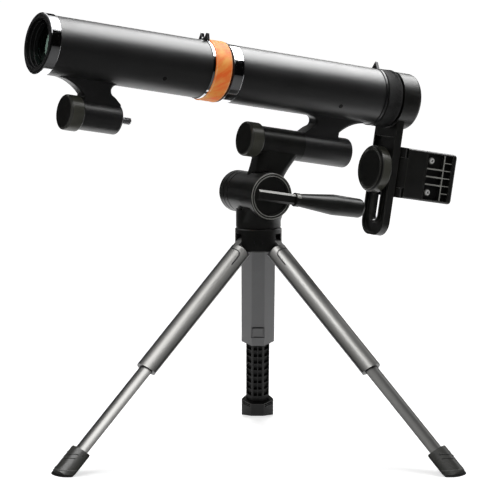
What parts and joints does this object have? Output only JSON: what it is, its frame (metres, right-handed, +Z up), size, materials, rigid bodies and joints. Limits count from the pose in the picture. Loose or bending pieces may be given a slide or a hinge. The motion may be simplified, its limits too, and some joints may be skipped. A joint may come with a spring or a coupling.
{
  "type": "refractor telescope on a folding tripod",
  "caption": "Straight refractor telescope with open sights and a phone clip at the eyepiece, on a pan and tilt head with a folding telescopic tripod.",
  "frame": {"origin": "on the floor under the middle of the whole object's bounding box", "axes": "+Z up, the picture is taken from -Y looking along +Y, the objective points to -X and -Y"},
  "size_m": [0.3866, 0.3364, 0.4026],
  "materials": {
    "tube_black": "fine matt black powder coat",
    "chrome": "polished chrome plating",
    "cell_black": "matt black anodised and blackened rings",
    "lens_glass": "clear glass with a green coating reflex",
    "band_orange": "satin mottled orange wrap",
    "body_plastic": "fine grained black moulding",
    "knob_plastic": "satin black moulding",
    "grip_rubber": "black ribbed grip",
    "steel": "zinc plated steel",
    "washer_nylon": "plain nylon",
    "leg_gunmetal": "satin gunmetal anodised extrusion",
    "leg_silver": "bright anodised outside, black core inside",
    "button_plastic": "satin dark grey moulding",
    "foot_dark": "satin dark grey moulding",
    "soft_rubber": "soft black rubber"
  },
  "bodies": {
    "base": {"hub": "body_plastic", "leg_pins": "cell_black"},
    "pan": {"pan_yoke": "body_plastic", "tilt_washer": "washer_nylon", "pan_bolt": "steel"},
    "scope": {"saddle": "body_plastic", "drum_cap": "body_plastic", "tilt_shaft": "steel", "tilt_disc": "body_plastic", "front_tube": "tube_black", "lens_cell": "cell_black", "objective_bezel": "chrome", "objective_lens": "lens_glass", "lens_retainer": "cell_black", "coupling_sleeve": "cell_black", "notch_sight": "cell_black", "joint_band": "band_orange", "joint_collar": "chrome", "rear_tube": "tube_black", "tube_baffles": "cell_black", "set_screws": "cell_black", "bead_sight": "cell_black"},
    "handle": {"pan_handle": "body_plastic", "handle_screw": "steel"},
    "saddle_lock": {"saddle_knob": "knob_plastic", "saddle_screw": "steel"},
    "front_lock": {"front_knob": "knob_plastic", "front_stud": "steel"},
    "focus": {"focus_ring": "grip_rubber"},
    "eyepiece": {"draw_tube": "body_plastic", "field_lens": "lens_glass", "eye_lens": "lens_glass", "eyecup": "soft_rubber"},
    "adapter": {"adapter_arm": "body_plastic"},
    "slider": {"carriage": "body_plastic", "hinge_pin": "steel"},
    "clamp": {"clamp_knob": "knob_plastic", "clamp_screw": "steel"},
    "clip": {"clip_body": "body_plastic", "clip_pad": "soft_rubber"},
    "moving_jaw": {"jaw": "body_plastic", "jaw_backplate": "body_plastic", "jaw_screws": "steel", "jaw_pad": "soft_rubber", "guide_rods": "steel"},
    "leg_1": {"upper_leg_1": "leg_gunmetal"},
    "extension_1": {"lower_leg_1": "leg_silver", "foot_1": "foot_dark", "sole_1": "soft_rubber"},
    "button_1": {"release_button_1": "button_plastic"},
    "leg_2": {"upper_leg_2": "leg_gunmetal"},
    "extension_2": {"lower_leg_2": "leg_silver", "foot_2": "foot_dark", "sole_2": "soft_rubber"},
    "button_2": {"release_button_2": "button_plastic"},
    "leg_3": {"upper_leg_3": "leg_gunmetal"},
    "extension_3": {"lower_leg_3": "leg_silver", "foot_3": "foot_dark", "sole_3": "soft_rubber"},
    "button_3": {"release_button_3": "button_plastic"}
  },
  "joints": [
    {"name": "leg_1_fold", "type": "hinge", "parent": "base", "child": "leg_1", "pos_m": [0.00919, -0.02609, 0.1946], "axis": [-1, 0, 0], "range_deg": [0, 44]},
    {"name": "leg_1_extend", "type": "slide", "parent": "leg_1", "child": "extension_1", "axis": [0, -0.6947, 0.7193], "range_m": [0, 0.084]},
    {"name": "leg_1_release", "type": "slide", "parent": "leg_1", "child": "button_1", "axis": [0, 0.7193, 0.6947], "range_m": [0, 0.0012], "stiffness_N_per_m": 900, "springref_m": -0.0015},
    {"name": "leg_2_fold", "type": "hinge", "parent": "base", "child": "leg_2", "pos_m": [-0.0012, -0.04409, 0.1946], "axis": [0.5, -0.866, 0], "range_deg": [0, 44]},
    {"name": "leg_2_extend", "type": "slide", "parent": "leg_2", "child": "extension_2", "axis": [0.6016, 0.3473, 0.7193], "range_m": [0, 0.084]},
    {"name": "leg_2_release", "type": "slide", "parent": "leg_2", "child": "button_2", "axis": [-0.623, -0.3597, 0.6947], "range_m": [0, 0.0012], "stiffness_N_per_m": 900, "springref_m": -0.0015},
    {"name": "leg_3_fold", "type": "hinge", "parent": "base", "child": "leg_3", "pos_m": [0.01958, -0.04409, 0.1946], "axis": [0.5, 0.866, 0], "range_deg": [0, 44]},
    {"name": "leg_3_extend", "type": "slide", "parent": "leg_3", "child": "extension_3", "axis": [-0.6016, 0.3473, 0.7193], "range_m": [0, 0.084]},
    {"name": "leg_3_release", "type": "slide", "parent": "leg_3", "child": "button_3", "axis": [0.623, -0.3597, 0.6947], "range_m": [0, 0.0012], "stiffness_N_per_m": 900, "springref_m": -0.0015},
    {"name": "pan_turn", "type": "hinge", "parent": "base", "child": "pan", "pos_m": [0.00919, -0.03809, 0.206], "axis": [0, 0, 1], "continuous": true},
    {"name": "scope_tilt", "type": "hinge", "parent": "pan", "child": "scope", "pos_m": [0.00919, -0.03809, 0.236], "axis": [0.4924, -0.8704, 0], "range_deg": [-25, 35]},
    {"name": "handle_twist", "type": "hinge", "parent": "scope", "child": "handle", "pos_m": [0.02278, -0.06211, 0.236], "axis": [0.8584, 0.4857, -0.165], "range_deg": [0, 270]},
    {"name": "saddle_knob_turn", "type": "hinge", "parent": "scope", "child": "saddle_lock", "pos_m": [0.00214, -0.04208, 0.28572], "axis": [0.8584, 0.4857, -0.165], "continuous": true},
    {"name": "front_knob_turn", "type": "hinge", "parent": "scope", "child": "front_lock", "pos_m": [-0.15281, -0.12974, 0.31551], "axis": [0.8584, 0.4857, -0.165], "continuous": true},
    {"name": "focus_turn", "type": "hinge", "parent": "scope", "child": "focus", "pos_m": [0.11542, 0.02201, 0.3195], "axis": [0.8584, 0.4857, -0.165], "range_deg": [-45.5, 180.5]},
    {"name": "eyepiece_slide", "type": "slide", "parent": "scope", "child": "eyepiece", "axis": [0.8584, 0.4857, -0.165], "range_m": [-0.002, 0.008]},
    {"name": "adapter_turn", "type": "hinge", "parent": "eyepiece", "child": "adapter", "pos_m": [0.13019, 0.03037, 0.31666], "axis": [0.8584, 0.4857, -0.165], "range_deg": [-90, 90]},
    {"name": "carriage_slide", "type": "slide", "parent": "adapter", "child": "slider", "axis": [-0.1437, -0.0813, -0.9863], "range_m": [-0.009, 0.04]},
    {"name": "clamp_turn", "type": "hinge", "parent": "slider", "child": "clamp", "pos_m": [0.12119, 0.02528, 0.25249], "axis": [0.8584, 0.4857, -0.165], "continuous": true},
    {"name": "clip_fold", "type": "hinge", "parent": "slider", "child": "clip", "pos_m": [0.13962, 0.01675, 0.25051], "axis": [-0.1437, -0.0813, -0.9863], "range_deg": [0, 90]},
    {"name": "jaw_slide", "type": "slide", "parent": "clip", "child": "moving_jaw", "axis": [0.8584, 0.4857, -0.165], "range_m": [0, 0.036], "stiffness_N_per_m": 150, "springref_m": -0.02}
  ],
  "couplings": [
    {"joint": "focus_turn", "follows": "eyepiece_slide", "rad_per_m": 392.7}
  ]
}
